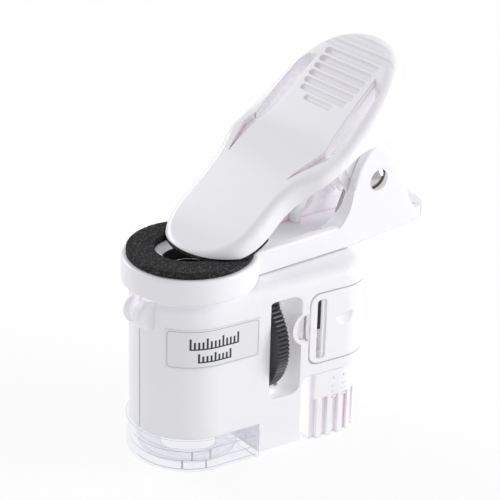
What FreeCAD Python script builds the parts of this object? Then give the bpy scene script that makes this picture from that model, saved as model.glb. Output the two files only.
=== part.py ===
"""Clip-on pocket microscope for a phone camera: a spring clip, a foam ring and a small lit microscope.

Millimetres. The origin is on the optical axis, at the foot of the clear base. +X runs from the
optical axis to the battery end, -Y is the side with the focus wheel and +Z is up.
"""
import FreeCAD, Part
import math
import os

Vector = FreeCAD.Vector
X_AXIS = Vector(1, 0, 0)
Y_AXIS = Vector(0, 1, 0)
Z_AXIS = Vector(0, 0, 1)
FAR = 100.0

# Fits and gaps
RUN_GAP = 0.05
SEAT_GAP = 0.02
SHELL_GAP = 0.3

# Microscope body, a nose round the optical axis that flares towards a round-cornered rear
NOSE_R = 14.3
FLARE_DEG = 6.3
REAR_X = 43.4
REAR_CORNER_R = 9.0
BODY_FOOT_Z = 1.2
BODY_TOP_Z = 44.8
SHOULDER_R = 3.4
WALL = 1.8
SEAM_WIDTH = 0.5
SEAM_DEPTH = 0.7
NECK_R = 12.2
NECK_TOP_Z = 49.4
NECK_BORE_R = 8.7

# Clear base under the nose
BASE_PROUD = 0.8
BASE_H = 9.0
BASE_END_X = 9.2
BASE_END_ROUND = 1.8
BASE_FOOT_ROUND = 1.4
BASE_GROOVE = 0.5
BASE_WALL = 1.9
BASE_LEDGE = 0.7
BASE_LEDGE_1_Z = 2.4
BASE_LEDGE_2_Z = 5.4
BASE_FLOOR = 1.2
WINDOW_R = 6.8

# Thumb scoop, focus wheel and its window
SCOOP_X0 = 12.1
SCOOP_X1 = 20.8
SCOOP_Z0 = 14.7
SCOOP_Z1 = 40.7
SCOOP_DEPTH = 2.6
SCOOP_BELLY_X = 15.4
SCOOP_END_ROUND = 2.2
SCOOP_SKIN = 1.4
WHEEL_R = 14.3
WHEEL_X = 13.0
WHEEL_W = 3.0
WHEEL_Y = -3.9
WHEEL_Z = 27.9
WHEEL_TEETH = 84
WHEEL_TOOTH_H = 0.45
WHEEL_DISH = 0.8
WHEEL_RIM = 2.4
WHEEL_SIDE_GAP = 0.4
WHEEL_RIM_GAP = 0.5
HUB_R = 3.4
AXLE_R = 1.0
AXLE_X0 = 8.6
BEARING_R = 2.6
BEARING_X0 = 16.5
BEARING_LEN = 4.2

# Nail pocket that bites into the scoop beside the cover's edge
POCKET_Z = 31.5
POCKET_R = 3.7
POCKET_RIM = 0.9
POCKET_DEPTH = 2.0

# Battery cover, a U round the rear
COVER_X0 = 22.9
COVER_Z0 = 21.0
COVER_Z1 = 40.1
COVER_CORNER_R = 2.6
COVER_T = 1.6
COVER_SEAM = 0.35
COVER_SLOT_X0 = 25.1
COVER_SLOT_X1 = 27.7
COVER_SLOT_Z0 = 22.4
COVER_SLOT_Z1 = 38.2
COVER_NUB_R = 5.2
COVER_NUB_OUT = 0.32
NAIL_DENT_X = 32.6
NAIL_DENT_Z = 32.9
NAIL_DENT_R = 6.0
NAIL_DENT_DEPTH = 0.65
NAIL_DENT_SLOPE_DEG = 10.0

# Light switch, a ribbed sleeve round the foot of the rear
CUT_X = 21.3
CUT_Z = 18.3
CUT_CORNER_R = 2.0
CORE_HALF = 12.3
CORE_WALL = 1.6
CORE_FOOT_Z = 1.9
CORE_REAR_X = 37.0
SWITCH_X0 = 24.8
SWITCH_SINK = 0.3
SWITCH_REAR_SINK = 1.2
SWITCH_CORNER_R = 1.2
SWITCH_WALL = 1.8
SWITCH_FLOOR = 1.6
SWITCH_FLANGE = 1.8
SWITCH_RIB_TOP_Z = 11.0
SWITCH_RIB_PITCH = 3.05
SWITCH_GROOVE_W = 1.45
SWITCH_GROOVE_DEPTH = 0.8
SWITCH_RIBS = 4
SWITCH_REAR_RIBS = 7

# Battery holder and three button cells, stacked across the body
CELL_R = 5.8
CELL_T = 3.05
CELL_X = 35.4
CELL_GAP = 0.05
HOLDER_GAP = 0.4
HOLDER_X0 = CELL_X - CELL_R - HOLDER_GAP
HOLDER_WALL = 1.5
CONTACT_T = 0.4

# Screws that close the housing from the far side
SCREW_R = 1.0
SCREW_HEAD_R = 2.0
SCREW_HEAD_H = 1.3
SCREW_LEN = 12.0
SCREW_PLACES = ((19.0, 7.0), (31.0, 9.5))
POST_R = 2.6
SCREW_PILOT_R = 0.9

# Lens carriage with its rack, and the wheel's pinion
TUBE_R = 7.6
TUBE_WALL = 1.2
TUBE_Z0 = 14.0
TUBE_Z1 = 34.0
TIP_R = 4.4
TIP_H = 2.2
GEAR_MODULE = 0.6
PINION_TEETH = 12
PINION_X0 = 8.9
PINION_W = 2.8
RACK_TEETH = 8
RACK_BACK = 2.2
GEAR_SLACK = 0.16
GUIDE_RIB_W = 1.6
OBJECTIVE_R = 3.4
OBJECTIVE_T = 2.4
OBJECTIVE_CAP_H = 1.0

# Eyepiece
EYE_TUBE_R = 8.6
EYE_BORE_R = 5.4
EYE_Z0 = 43.6
EYE_Z1 = 49.6
EYE_LENS_R = 6.4
EYE_LENS_T = 3.0
EYE_LENS_SEAT_Z = 44.3

# Lamp board and its lamps, under the housing's floor
BOARD_T = 1.0
BOARD_INSET = 1.6
BOARD_REAR_X = 6.4
BOARD_HOLE_R = 5.0
LAMP_R = 1.5
LAMP_H = 2.4
LAMP_RADIUS = 8.4
LAMP_ANGLES = (90.0, 180.0, 270.0)

# Label on the near flank
LABEL_Z0 = 27.8
LABEL_Z1 = 37.9
LABEL_X1 = 9.0
LABEL_NOSE_DEG = 31.0
LABEL_T = 0.25
LABEL_SINK = 0.15

# Lugs on the nose for a neck cord
LUG_R = 3.9
LUG_ROUND = 0.8
LUG_X = -13.8
LUG_Z = 40.3
LUG_NEAR_Y = (-4.6, -1.4)
LUG_FAR_Y = (0.5, 2.3)

# Clip arm: collar, dished arm, ears and squeeze tail in one moulding
COLLAR_R = 16.1
COLLAR_Z0 = 45.2
COLLAR_TOP_Z = 51.0
COLLAR_HOLE_R = 6.7
COLLAR_ROUND = 0.8
ARM_Z0 = 45.1
ARM_HALF = 9.3
ARM_STRAIGHT_X = 43.0
ARM_NARROW_X = 66.0
ARM_NARROW_HALF = 6.2
ARM_END_X = 72.4
ARM_RISE_X = 43.0
ARM_RISE = 0.095
ARM_WALL = 2.0
ARM_FLOOR = 2.2
ARM_ROUND = 1.4
TRAY_END_X = 59.0
TAIL_SLOPE_X = 62.5
TAIL_END_Z = 49.4
PIVOT_X = 49.7
PIVOT_Z = 60.5
EAR_T = 2.2
GUSSET_X = 1.7
GUSSET_Y0 = 4.7
GUSSET_TOP_Z = 59.5
EAR_ROUND = 0.7
PIN_R = 1.5
PIN_HEAD_R = 2.7
PIN_HEAD_H = 1.1

# Foam ring on the collar
FOAM_R = 15.0
FOAM_HOLE_R = 8.3
FOAM_T = 1.75

# Clip lever: a hollow moulded paddle that rises to the thumb pad
LEVER_T = 2.6
LEVER_SKIN = 2.0
LEVER_ROUND = 2.0
RAMP_DEPTH = 1.3
THUMB_GROOVE_R = 0.75
THUMB_GROOVE_SINK = 0.6
THUMB_GROOVE_PITCH = 2.15
THUMB_GROOVE_HALVES = (11.0, 12.4, 9.2, 9.1, 9.0, 9.0, 8.8, 8.3, 5.1)
LUG_INNER_Y = 5.0
LEVER_LUG_T = 1.9
LEVER_LUG_HALF = 4.85
LEVER_LUG_END = 7.6
PAD_T = 1.1
PAD_END_X = 12.6
PAD_INSET = 0.1
JAW_GAP = 0.15

# Torsion spring round the pivot pin
SPRING_R = 3.0
WIRE_R = 0.5
SPRING_PITCH = 1.25
SPRING_TURNS = 5
LEG_UP_DEG = 30.0
LEG_DOWN_DEG = -20.0
LEG_UP_LEN = 21.0


def place(name, shape):
    """Write one sub-part, and say what it holds."""
    solids = len(shape.Solids)
    print(f"{name:20s} solids {solids}  volume {shape.Volume:9.1f} mm3  valid {shape.isValid()}")
    shape.exportStep(f"parts/{name}.step")


def box(x0, x1, y0, y1, z0, z1):
    return Part.makeBox(x1 - x0, y1 - y0, z1 - z0, Vector(x0, y0, z0))


def rod(radius, start, axis, length):
    return Part.makeCylinder(radius, length, start, axis)


def fuse(*shapes):
    return shapes[0].fuse(list(shapes[1:])).removeSplitter()


def prism_z(edges, z0, z1):
    """Solid between two heights over a closed plan outline."""
    face = Part.Face(Part.Wire(edges))
    face.translate(Vector(0, 0, z0))
    return face.extrude(Vector(0, 0, z1 - z0))


def prism_y(edges, y0, y1):
    """Solid between two widths over a closed side outline drawn in the XZ plane."""
    face = Part.Face(Part.Wire(edges))
    face.translate(Vector(0, y0, 0))
    return face.extrude(Vector(0, y1 - y0, 0))


def plan(x, y):
    return Vector(x, y, 0)


def side(x, z):
    return Vector(x, 0, z)


def loop(points):
    """Closed run of straight edges."""
    ends = points[1:] + points[:1]
    return [Part.LineSegment(a, b).toShape() for a, b in zip(points, ends)]


def arc(start, middle, end):
    return Part.Arc(start, middle, end).toShape()


def line(start, end):
    return Part.LineSegment(start, end).toShape()


def curve(points):
    spline = Part.BSplineCurve()
    spline.interpolate(points)
    return spline.toShape()


def flank_half(x):
    """Half-width of the body at a distance behind the optical axis."""
    flare = math.radians(FLARE_DEG)
    return NOSE_R / math.cos(flare) + x * math.tan(flare)


def body_prism(grow, z0, z1, rear_grow=None):
    """The body's plan outline, grown outward or inward, as a solid between two heights."""
    rear_grow = grow if rear_grow is None else rear_grow
    flare = math.radians(FLARE_DEG)
    sine, cosine, slope = math.sin(flare), math.cos(flare), math.tan(flare)
    nose = NOSE_R + grow
    corner = REAR_CORNER_R + grow
    rear = REAR_X + rear_grow
    centre_x = rear - corner
    centre_y = (nose - corner) / cosine + centre_x * slope
    turn = math.radians(45.0 + FLARE_DEG / 2)
    edges = []
    near_nose, near_rear = plan(-nose * sine, -nose * cosine), plan(centre_x - corner * sine, 0)
    near_rear.y = -centre_y - corner * cosine
    near_end = plan(rear, -centre_y)
    near_mid = plan(centre_x + corner * math.cos(turn), -centre_y - corner * math.sin(turn))
    far_nose, far_rear, far_end, far_mid = (
        plan(p.x, -p.y) for p in (near_nose, near_rear, near_end, near_mid)
    )
    edges.append(arc(far_nose, plan(-nose, 0), near_nose))
    edges.append(line(near_nose, near_rear))
    edges.append(arc(near_rear, near_mid, near_end))
    edges.append(line(near_end, far_end))
    edges.append(arc(far_end, far_mid, far_rear))
    edges.append(line(far_rear, far_nose))
    return prism_z(edges, z0, z1)


def edges_at_height(shape, z, tolerance=0.01):
    """Edges that lie wholly at one height."""
    found = []
    for edge in shape.Edges:
        bounds = edge.BoundBox
        if abs(bounds.ZMin - z) < tolerance and abs(bounds.ZMax - z) < tolerance:
            found.append(edge)
    return found


def rounded_window(x0, x1, z0, z1, radius, y0, y1):
    """Block along Y whose outline in the XZ plane has round corners."""
    block = box(x0, x1, y0, y1, z0, z1)
    upright = [e for e in block.Edges if abs(e.BoundBox.YLength - (y1 - y0)) < 0.01]
    return block.makeFillet(radius, upright)


def body_shell():
    """Both housing halves as one closed shell, before the openings of each side."""
    outer = body_prism(0, BODY_FOOT_Z, BODY_TOP_Z)
    outer = outer.makeFillet(SHOULDER_R, edges_at_height(outer, BODY_TOP_Z))
    hollow = body_prism(-WALL, BODY_FOOT_Z + WALL, BODY_TOP_Z - WALL)
    hollow = hollow.makeFillet(SHOULDER_R - WALL, edges_at_height(hollow, BODY_TOP_Z - WALL))
    base_room = box(-FAR, BASE_END_X + BASE_GROOVE, -FAR, FAR, -FAR, BASE_H)
    floor_room = box(-FAR, BASE_END_X + BASE_GROOVE + WALL, -FAR, FAR, -FAR, BASE_H + WALL)
    outer = outer.cut(base_room)
    hollow = hollow.cut(floor_room)

    core_room = rounded_window(CUT_X, FAR, -FAR, CUT_Z, CUT_CORNER_R, -FAR, FAR)
    core = box(CUT_X - WALL, CORE_REAR_X, -CORE_HALF, CORE_HALF, CORE_FOOT_Z, CUT_Z + WALL)
    core_skin = box(CUT_X - WALL, FAR, -FAR, FAR, -FAR, CUT_Z + WALL)
    core_hollow = box(
        CUT_X - 2 * WALL, CORE_REAR_X - CORE_WALL, CORE_WALL - CORE_HALF, CORE_HALF - CORE_WALL,
        CORE_FOOT_Z + CORE_WALL, CUT_Z + WALL,
    )
    hollow = hollow.cut(core_skin).fuse(core_hollow)
    outer = outer.cut(core_room).fuse(core)

    neck = rod(NECK_R, Vector(0, 0, BODY_TOP_Z - WALL), Z_AXIS, NECK_TOP_Z - BODY_TOP_Z + WALL)
    shell = outer.fuse(neck).cut(hollow)
    shell = shell.cut(rod(NECK_BORE_R, Vector(0, 0, BASE_H + 2 * WALL), Z_AXIS, FAR))
    shell = shell.cut(rod(TUBE_R + 1.2, Vector(0, 0, 0), Z_AXIS, BASE_H + 2 * WALL))

    cover_room = rounded_window(COVER_X0, FAR, COVER_Z0, COVER_Z1, COVER_CORNER_R, -FAR, FAR)
    shell = shell.cut(cover_room)
    return shell.fuse(inner_walls())


def inner_walls():
    """Guide ribs for the lens carriage, screw posts and the battery bulkhead."""
    room = body_prism(-WALL / 2, BODY_FOOT_Z, BODY_TOP_Z - WALL / 2)
    ceiling = BODY_TOP_Z - WALL
    floor = BASE_H + WALL
    ribs = []
    for angle in (45.0, 135.0, 225.0, 315.0):
        rib = box(0, NOSE_R + 2, -GUIDE_RIB_W / 2, GUIDE_RIB_W / 2, floor - 0.5, ceiling + 0.5)
        rib.rotate(Vector(0, 0, 0), Z_AXIS, angle)
        ribs.append(rib)
    bore = rod(TUBE_R + SHELL_GAP, Vector(0, 0, 0), Z_AXIS, FAR)
    guides = ribs[0].fuse(ribs[1:]).cut(bore)
    posts = [rod(POST_R, Vector(x, -FAR, z), Y_AXIS, 2 * FAR) for x, z in SCREW_PLACES]
    bulkhead = box(HOLDER_X0 - HOLDER_WALL, HOLDER_X0, -CORE_HALF, CORE_HALF, CUT_Z + 0.5, ceiling + 0.5)
    walls = guides.fuse(bulkhead).common(room)
    core = box(CUT_X, CORE_REAR_X, -CORE_HALF, CORE_HALF, CORE_FOOT_Z, CUT_Z)
    front = body_prism(-0.5, BODY_FOOT_Z, BODY_TOP_Z).common(box(0, CUT_X, -FAR, FAR, 0, FAR))
    return walls.fuse(posts[0].fuse(posts[1:]).common(core.fuse(front)))


def wheel_room():
    """Space that the focus wheel turns in, open at the near flank."""
    start = Vector(WHEEL_X - WHEEL_SIDE_GAP, WHEEL_Y, WHEEL_Z)
    return rod(WHEEL_R + WHEEL_RIM_GAP, start, X_AXIS, WHEEL_W + 2 * WHEEL_SIDE_GAP)


def pinion_room():
    """Space that the pinion turns in, between the guide ribs."""
    tip_r = GEAR_MODULE * (PINION_TEETH / 2 + 1)
    start = Vector(PINION_X0 - WHEEL_SIDE_GAP, WHEEL_Y, WHEEL_Z)
    return rod(tip_r + WHEEL_SIDE_GAP, start, X_AXIS, PINION_W + 2 * WHEEL_SIDE_GAP)


def scoop(grow):
    """Thumb scoop beside the wheel: deepest at the wheel, running out to the flank behind it."""
    x0, x1 = SCOOP_X0 - grow, SCOOP_X1 + grow
    lip = 3.0
    belly = plan(SCOOP_BELLY_X, SCOOP_DEPTH + grow - flank_half(SCOOP_BELLY_X))
    reach = x1 - SCOOP_BELLY_X
    run_out = plan(x1, -flank_half(x1))
    bowl_r = (reach ** 2 + (belly.y - run_out.y) ** 2) / (2 * (belly.y - run_out.y))
    centre = plan(SCOOP_BELLY_X, belly.y - bowl_r)
    start_y = centre.y + math.sqrt(bowl_r ** 2 - (SCOOP_BELLY_X - x0) ** 2)
    start = plan(x0, start_y)
    corners = [plan(x0, -flank_half(x0) - lip), plan(x1, -flank_half(x1) - lip)]
    edges = [line(corners[0], start), arc(start, belly, run_out)]
    edges += [line(run_out, corners[1]), line(corners[1], corners[0])]
    tool = prism_z(edges, SCOOP_Z0 - grow, SCOOP_Z1 + grow)
    if grow:
        return tool
    ends = [e for z in (SCOOP_Z0, SCOOP_Z1) for e in edges_at_height(tool, z)]
    bowls = [e for e in ends if e.Curve.TypeId == "Part::GeomCircle"]
    return tool.makeFillet(SCOOP_END_ROUND, bowls)


def housing_near(shell):
    """Half with the thumb scoop, the wheel window, the nail pocket and the wheel's bearing."""
    half = shell.common(box(-FAR, FAR, -FAR, 0, -FAR, FAR))
    inside = body_prism(-0.05, BODY_FOOT_Z, BODY_TOP_Z)
    solid_side = box(-FAR, COVER_X0, -FAR, FAR, -FAR, FAR)
    pocket_at = Vector(COVER_X0, -flank_half(COVER_X0) + POCKET_DEPTH, POCKET_Z)
    pocket = rod(POCKET_R, pocket_at, -Y_AXIS, FAR)
    rim = rod(POCKET_R + POCKET_RIM, pocket_at + Vector(0, SCOOP_SKIN, 0), -Y_AXIS, FAR)
    skin = scoop(SCOOP_SKIN).fuse(rim).common(inside).common(solid_side)
    rim_front = rim.common(body_prism(0, BODY_FOOT_Z, BODY_TOP_Z)).common(solid_side)
    bearing = rod(BEARING_R, Vector(BEARING_X0, WHEEL_Y, WHEEL_Z), X_AXIS, BEARING_LEN)
    web = box(BEARING_X0, BEARING_X0 + BEARING_LEN, -FAR, WHEEL_Y, WHEEL_Z - 1.0, WHEEL_Z + 1.0)
    half = half.fuse([skin.cut(box(CUT_X, FAR, -FAR, FAR, -FAR, CUT_Z)), bearing, web.common(inside)])
    half = half.cut(scoop(0)).fuse(rim_front)
    bore = rod(AXLE_R + RUN_GAP, Vector(BEARING_X0 - 1, WHEEL_Y, WHEEL_Z), X_AXIS, BEARING_LEN + 2)
    half = half.cut([pocket, wheel_room(), pinion_room(), bore, seam_groove(), label_bed()])
    return half.fuse(nose_lug(LUG_NEAR_Y)).removeSplitter()


def housing_far(shell):
    """Plain half, with the screw holes."""
    half = shell.common(box(-FAR, FAR, 0, FAR, -FAR, FAR))
    half = half.cut([wheel_room(), pinion_room(), seam_groove()])
    return half.fuse(nose_lug(LUG_FAR_Y)).removeSplitter()


def nose_lug(span):
    """Round lug on the nose, soft at its rim, run back into the wall."""
    disc = rod(LUG_R, Vector(LUG_X, span[0], LUG_Z), Y_AXIS, span[1] - span[0])
    rims = [e for e in disc.Edges if e.Curve.TypeId == "Part::GeomCircle"]
    disc = disc.makeFillet(LUG_ROUND, rims)
    return disc.cut(body_prism(-WALL / 2, 0, FAR))


def seam_groove():
    """Fine groove down the nose where the halves meet."""
    wide = SEAM_WIDTH / 2
    return box(-NOSE_R - 1, SEAM_DEPTH - NOSE_R, -wide, wide, 0, LUG_Z - LUG_R)


def label_bed():
    return label_band(-LABEL_SINK, LABEL_T + 1.0)


def label_band(inner, thickness):
    """Thin band that follows the nose and the near flank between the label's ends."""
    band = body_prism(inner + thickness, LABEL_Z0, LABEL_Z1).cut(body_prism(inner, 0, FAR))
    turn = math.radians(LABEL_NOSE_DEG)
    reach = 2 * NOSE_R
    wedge = prism_z(
        loop([plan(0, 0), plan(-reach * math.cos(turn), -reach * math.sin(turn)),
              plan(-reach, -reach), plan(LABEL_X1, -reach), plan(LABEL_X1, 0)]),
        LABEL_Z0, LABEL_Z1,
    )
    return band.common(wedge)


def base_inner_r(step):
    """Inner radius of the clear base, wider with each step up."""
    return NOSE_R + BASE_PROUD - BASE_WALL - (2 - step) * BASE_LEDGE


def clear_base():
    """Clear cup under the nose, stepped inside, with a round window in its floor."""
    cup = body_prism(BASE_PROUD, 0, BASE_H).common(box(-FAR, BASE_END_X, -FAR, FAR, -FAR, FAR))
    rear_top = [e for e in edges_at_height(cup, BASE_H)
                if abs(e.BoundBox.XMin - BASE_END_X) < 0.01]
    cup = cup.makeFillet(BASE_END_ROUND, rear_top)
    foot = [e for e in edges_at_height(cup, 0) if e.BoundBox.XMin < BASE_END_X - 0.01]
    cup = cup.makeFillet(BASE_FOOT_ROUND, foot)
    steps = ((0, BASE_FLOOR, BASE_LEDGE_1_Z), (1, BASE_LEDGE_1_Z, BASE_LEDGE_2_Z),
             (2, BASE_LEDGE_2_Z, BASE_H))
    for step, z0, z1 in steps:
        room = rod(base_inner_r(step), Vector(0, 0, z0), Z_AXIS, z1 - z0)
        cup = cup.cut(room.common(box(-FAR, BASE_END_X - BASE_WALL, -FAR, FAR, -FAR, FAR)))
    return cup.cut(rod(WINDOW_R, Vector(0, 0, -1), Z_AXIS, FAR))


def focus_wheel():
    """Dished disc with a finely toothed rim."""
    step = 360.0 / WHEEL_TEETH
    points = []
    for tooth in range(WHEEL_TEETH):
        for share, radius in ((0.0, WHEEL_R - WHEEL_TOOTH_H), (0.3, WHEEL_R), (0.7, WHEEL_R)):
            angle = math.radians((tooth + share) * step)
            y = WHEEL_Y + radius * math.cos(angle)
            z = WHEEL_Z + radius * math.sin(angle)
            points.append(Vector(WHEEL_X, y, z))
    disc = Part.Face(Part.Wire(loop(points))).extrude(Vector(WHEEL_W, 0, 0))
    dish_r = WHEEL_R - WHEEL_RIM
    for x in (WHEEL_X, WHEEL_X + WHEEL_W - WHEEL_DISH):
        start = Vector(x, WHEEL_Y, WHEEL_Z)
        ring = rod(dish_r, start, X_AXIS, WHEEL_DISH).cut(rod(HUB_R, start, X_AXIS, WHEEL_DISH))
        disc = disc.cut(ring)
    return disc.cut(rod(AXLE_R + SEAT_GAP, Vector(0, WHEEL_Y, WHEEL_Z), X_AXIS, FAR))


def wheel_axle():
    length = BEARING_X0 + BEARING_LEN - AXLE_X0
    return rod(AXLE_R, Vector(AXLE_X0, WHEEL_Y, WHEEL_Z), X_AXIS, length)


def focus_pinion():
    """Small spur gear on the axle, with involute teeth."""
    pitch_r = GEAR_MODULE * PINION_TEETH / 2
    root_r = pitch_r - 1.25 * GEAR_MODULE
    base_r = pitch_r * math.cos(math.radians(20.0))
    tip_r = pitch_r + GEAR_MODULE
    half_pitch = math.pi / (2 * PINION_TEETH) - GEAR_SLACK / (2 * pitch_r)
    unroll_at_pitch = math.sqrt((pitch_r / base_r) ** 2 - 1)
    involute_at_pitch = unroll_at_pitch - math.atan(unroll_at_pitch)
    flank = []
    for radius in (base_r, (base_r + pitch_r) / 2, pitch_r, (pitch_r + tip_r) / 2, tip_r):
        unroll = math.sqrt(max((radius / base_r) ** 2 - 1, 0))
        angle = half_pitch + involute_at_pitch - (unroll - math.atan(unroll))
        flank.append((radius, angle))
    tooth_outline = [(root_r, flank[0][1])] + flank
    points = []
    for tooth in range(PINION_TEETH):
        centre = 2 * math.pi * tooth / PINION_TEETH
        for radius, angle in tooth_outline:
            points.append(pinion_point(radius, centre - angle))
        for radius, angle in reversed(tooth_outline):
            points.append(pinion_point(radius, centre + angle))
    gear = Part.Face(Part.Wire(loop(points))).extrude(Vector(PINION_W, 0, 0))
    return gear.cut(rod(AXLE_R + SEAT_GAP, Vector(0, WHEEL_Y, WHEEL_Z), X_AXIS, FAR))


def pinion_point(radius, angle):
    return Vector(PINION_X0, WHEEL_Y + radius * math.cos(angle), WHEEL_Z + radius * math.sin(angle))


def lens_carriage():
    """Sliding tube that carries the objective, with the rack moulded on its rear side."""
    tube = rod(TUBE_R, Vector(0, 0, TUBE_Z0), Z_AXIS, TUBE_Z1 - TUBE_Z0)
    tip = rod(TIP_R, Vector(0, 0, TUBE_Z0 - TIP_H), Z_AXIS, TIP_H)
    pitch = math.pi * GEAR_MODULE
    pitch_y = WHEEL_Y + GEAR_MODULE * PINION_TEETH / 2
    back_y = pitch_y + 1.25 * GEAR_MODULE + RACK_BACK
    low_z = WHEEL_Z - RACK_TEETH * pitch / 2
    high_z = WHEEL_Z + RACK_TEETH * pitch / 2
    bar = box(0, PINION_X0 + PINION_W, pitch_y - GEAR_MODULE, back_y, low_z, high_z)
    bar = bar.cut(box(0, TUBE_R + 0.6, -FAR, pitch_y, -FAR, FAR))
    slope = math.tan(math.radians(20.0))
    for gap in range(RACK_TEETH + 1):
        z = low_z + gap * pitch
        tip_half = pitch / 4 + GEAR_SLACK / 4 + GEAR_MODULE * slope
        root_half = pitch / 4 + GEAR_SLACK / 4 - 1.25 * GEAR_MODULE * slope
        if gap in (0, RACK_TEETH):
            continue
        notch = [Vector(0, pitch_y - GEAR_MODULE, z - tip_half),
                 Vector(0, pitch_y - GEAR_MODULE, z + tip_half),
                 Vector(0, pitch_y + 1.25 * GEAR_MODULE, z + root_half),
                 Vector(0, pitch_y + 1.25 * GEAR_MODULE, z - root_half)]
        bar = bar.cut(Part.Face(Part.Wire(loop(notch))).extrude(Vector(FAR, 0, 0)))
    bore = rod(TUBE_R - TUBE_WALL, Vector(0, 0, TUBE_Z0 + TUBE_WALL), Z_AXIS, FAR)
    light = rod(OBJECTIVE_R - 0.6, Vector(0, 0, 0), Z_AXIS, FAR)
    seat_z = TUBE_Z0 - TIP_H + OBJECTIVE_T + OBJECTIVE_CAP_H
    seat = rod(OBJECTIVE_R + SEAT_GAP, Vector(0, 0, 0), Z_AXIS, seat_z)
    return tube.fuse([tip, bar]).cut([bore, light, seat]).removeSplitter()


def lens(radius, thickness, bulge, z):
    """Round lens with two bowed faces, its middle plane at one height."""
    ball_r = (radius ** 2 + bulge ** 2) / (2 * bulge)
    reach = ball_r - thickness / 2
    rim = rod(radius, Vector(0, 0, -thickness), Z_AXIS, 2 * thickness)
    upper = Part.makeSphere(ball_r, Vector(0, 0, -reach))
    lower = Part.makeSphere(ball_r, Vector(0, 0, reach))
    disc = rim.common(upper).common(lower)
    disc.translate(Vector(0, 0, z))
    return disc


def objective_cap():
    z0 = TUBE_Z0 - TIP_H
    ring = rod(OBJECTIVE_R, Vector(0, 0, z0), Z_AXIS, OBJECTIVE_CAP_H)
    return ring.cut(rod(OBJECTIVE_R - 1.0, Vector(0, 0, 0), Z_AXIS, FAR))


def eyepiece_tube():
    tube = rod(EYE_TUBE_R, Vector(0, 0, EYE_Z0), Z_AXIS, EYE_Z1 - EYE_Z0 - 0.3)
    tube = tube.cut(rod(EYE_BORE_R, Vector(0, 0, 0), Z_AXIS, FAR))
    return tube.cut(rod(EYE_LENS_R + SEAT_GAP, Vector(0, 0, EYE_LENS_SEAT_Z), Z_AXIS, FAR))


def lamp_board():
    """Board with a hole for the light path, hung under the housing's floor."""
    z0 = BASE_H - BOARD_T
    board = rod(base_inner_r(2) - BOARD_INSET, Vector(0, 0, z0), Z_AXIS, BOARD_T)
    board = board.common(box(-FAR, BOARD_REAR_X, -FAR, FAR, -FAR, FAR))
    return board.cut(rod(BOARD_HOLE_R, Vector(0, 0, 0), Z_AXIS, FAR))


def lamp(angle):
    """Domed lamp that shines down on the object."""
    top = BASE_H - BOARD_T
    x = LAMP_RADIUS * math.cos(math.radians(angle))
    y = LAMP_RADIUS * math.sin(math.radians(angle))
    stem = rod(LAMP_R, Vector(x, y, top - LAMP_H + LAMP_R), Z_AXIS, LAMP_H - LAMP_R)
    dome = Part.makeSphere(LAMP_R, Vector(x, y, top - LAMP_H + LAMP_R), Z_AXIS, -90, 0, 360)
    return stem.fuse(dome).removeSplitter()


def cell_z():
    return (COVER_Z0 + COVER_Z1) / 2


def battery_holder():
    """Cradle on the bulkhead, open to the rear, with a slot at each end for a contact."""
    half = 1.5 * CELL_T + CONTACT_T + 2 * CELL_GAP
    z0, z1 = cell_z() - CELL_R - HOLDER_WALL, cell_z() + CELL_R + HOLDER_WALL
    block = box(HOLDER_X0, CELL_X + 2.0, -half - HOLDER_WALL, half + HOLDER_WALL, z0, z1)
    room = rod(CELL_R + 0.15, Vector(CELL_X, -half, cell_z()), Y_AXIS, 2 * half)
    mouth = box(CELL_X, FAR, -half, half, cell_z() - CELL_R - 0.15, cell_z() + CELL_R + 0.15)
    return block.cut(room.fuse(mouth))


def battery_cell(place_in_stack):
    """Button cell with a stepped rim."""
    y = (place_in_stack - 1.5) * CELL_T
    can = rod(CELL_R, Vector(CELL_X, y + CELL_GAP / 2, cell_z()), Y_AXIS, CELL_T - CELL_GAP - 0.5)
    cap = rod(CELL_R - 0.9, Vector(CELL_X, y, cell_z()), Y_AXIS, CELL_T - CELL_GAP / 2)
    return can.fuse(cap.common(box(-FAR, FAR, y + CELL_GAP / 2, FAR, -FAR, FAR))).removeSplitter()


def battery_contact(sign):
    """Bent strip that presses on one end of the stack."""
    inner = 1.5 * CELL_T + CELL_GAP
    y0, y1 = sorted((sign * inner, sign * (inner + CONTACT_T)))
    blade = box(CELL_X - 3.0, CELL_X + 3.0, y0, y1, cell_z() - 3.5, cell_z() + 3.5)
    upright = [e for e in blade.Edges if abs(e.BoundBox.YLength - CONTACT_T) < 0.001]
    return blade.makeFillet(1.0, upright)


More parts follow.
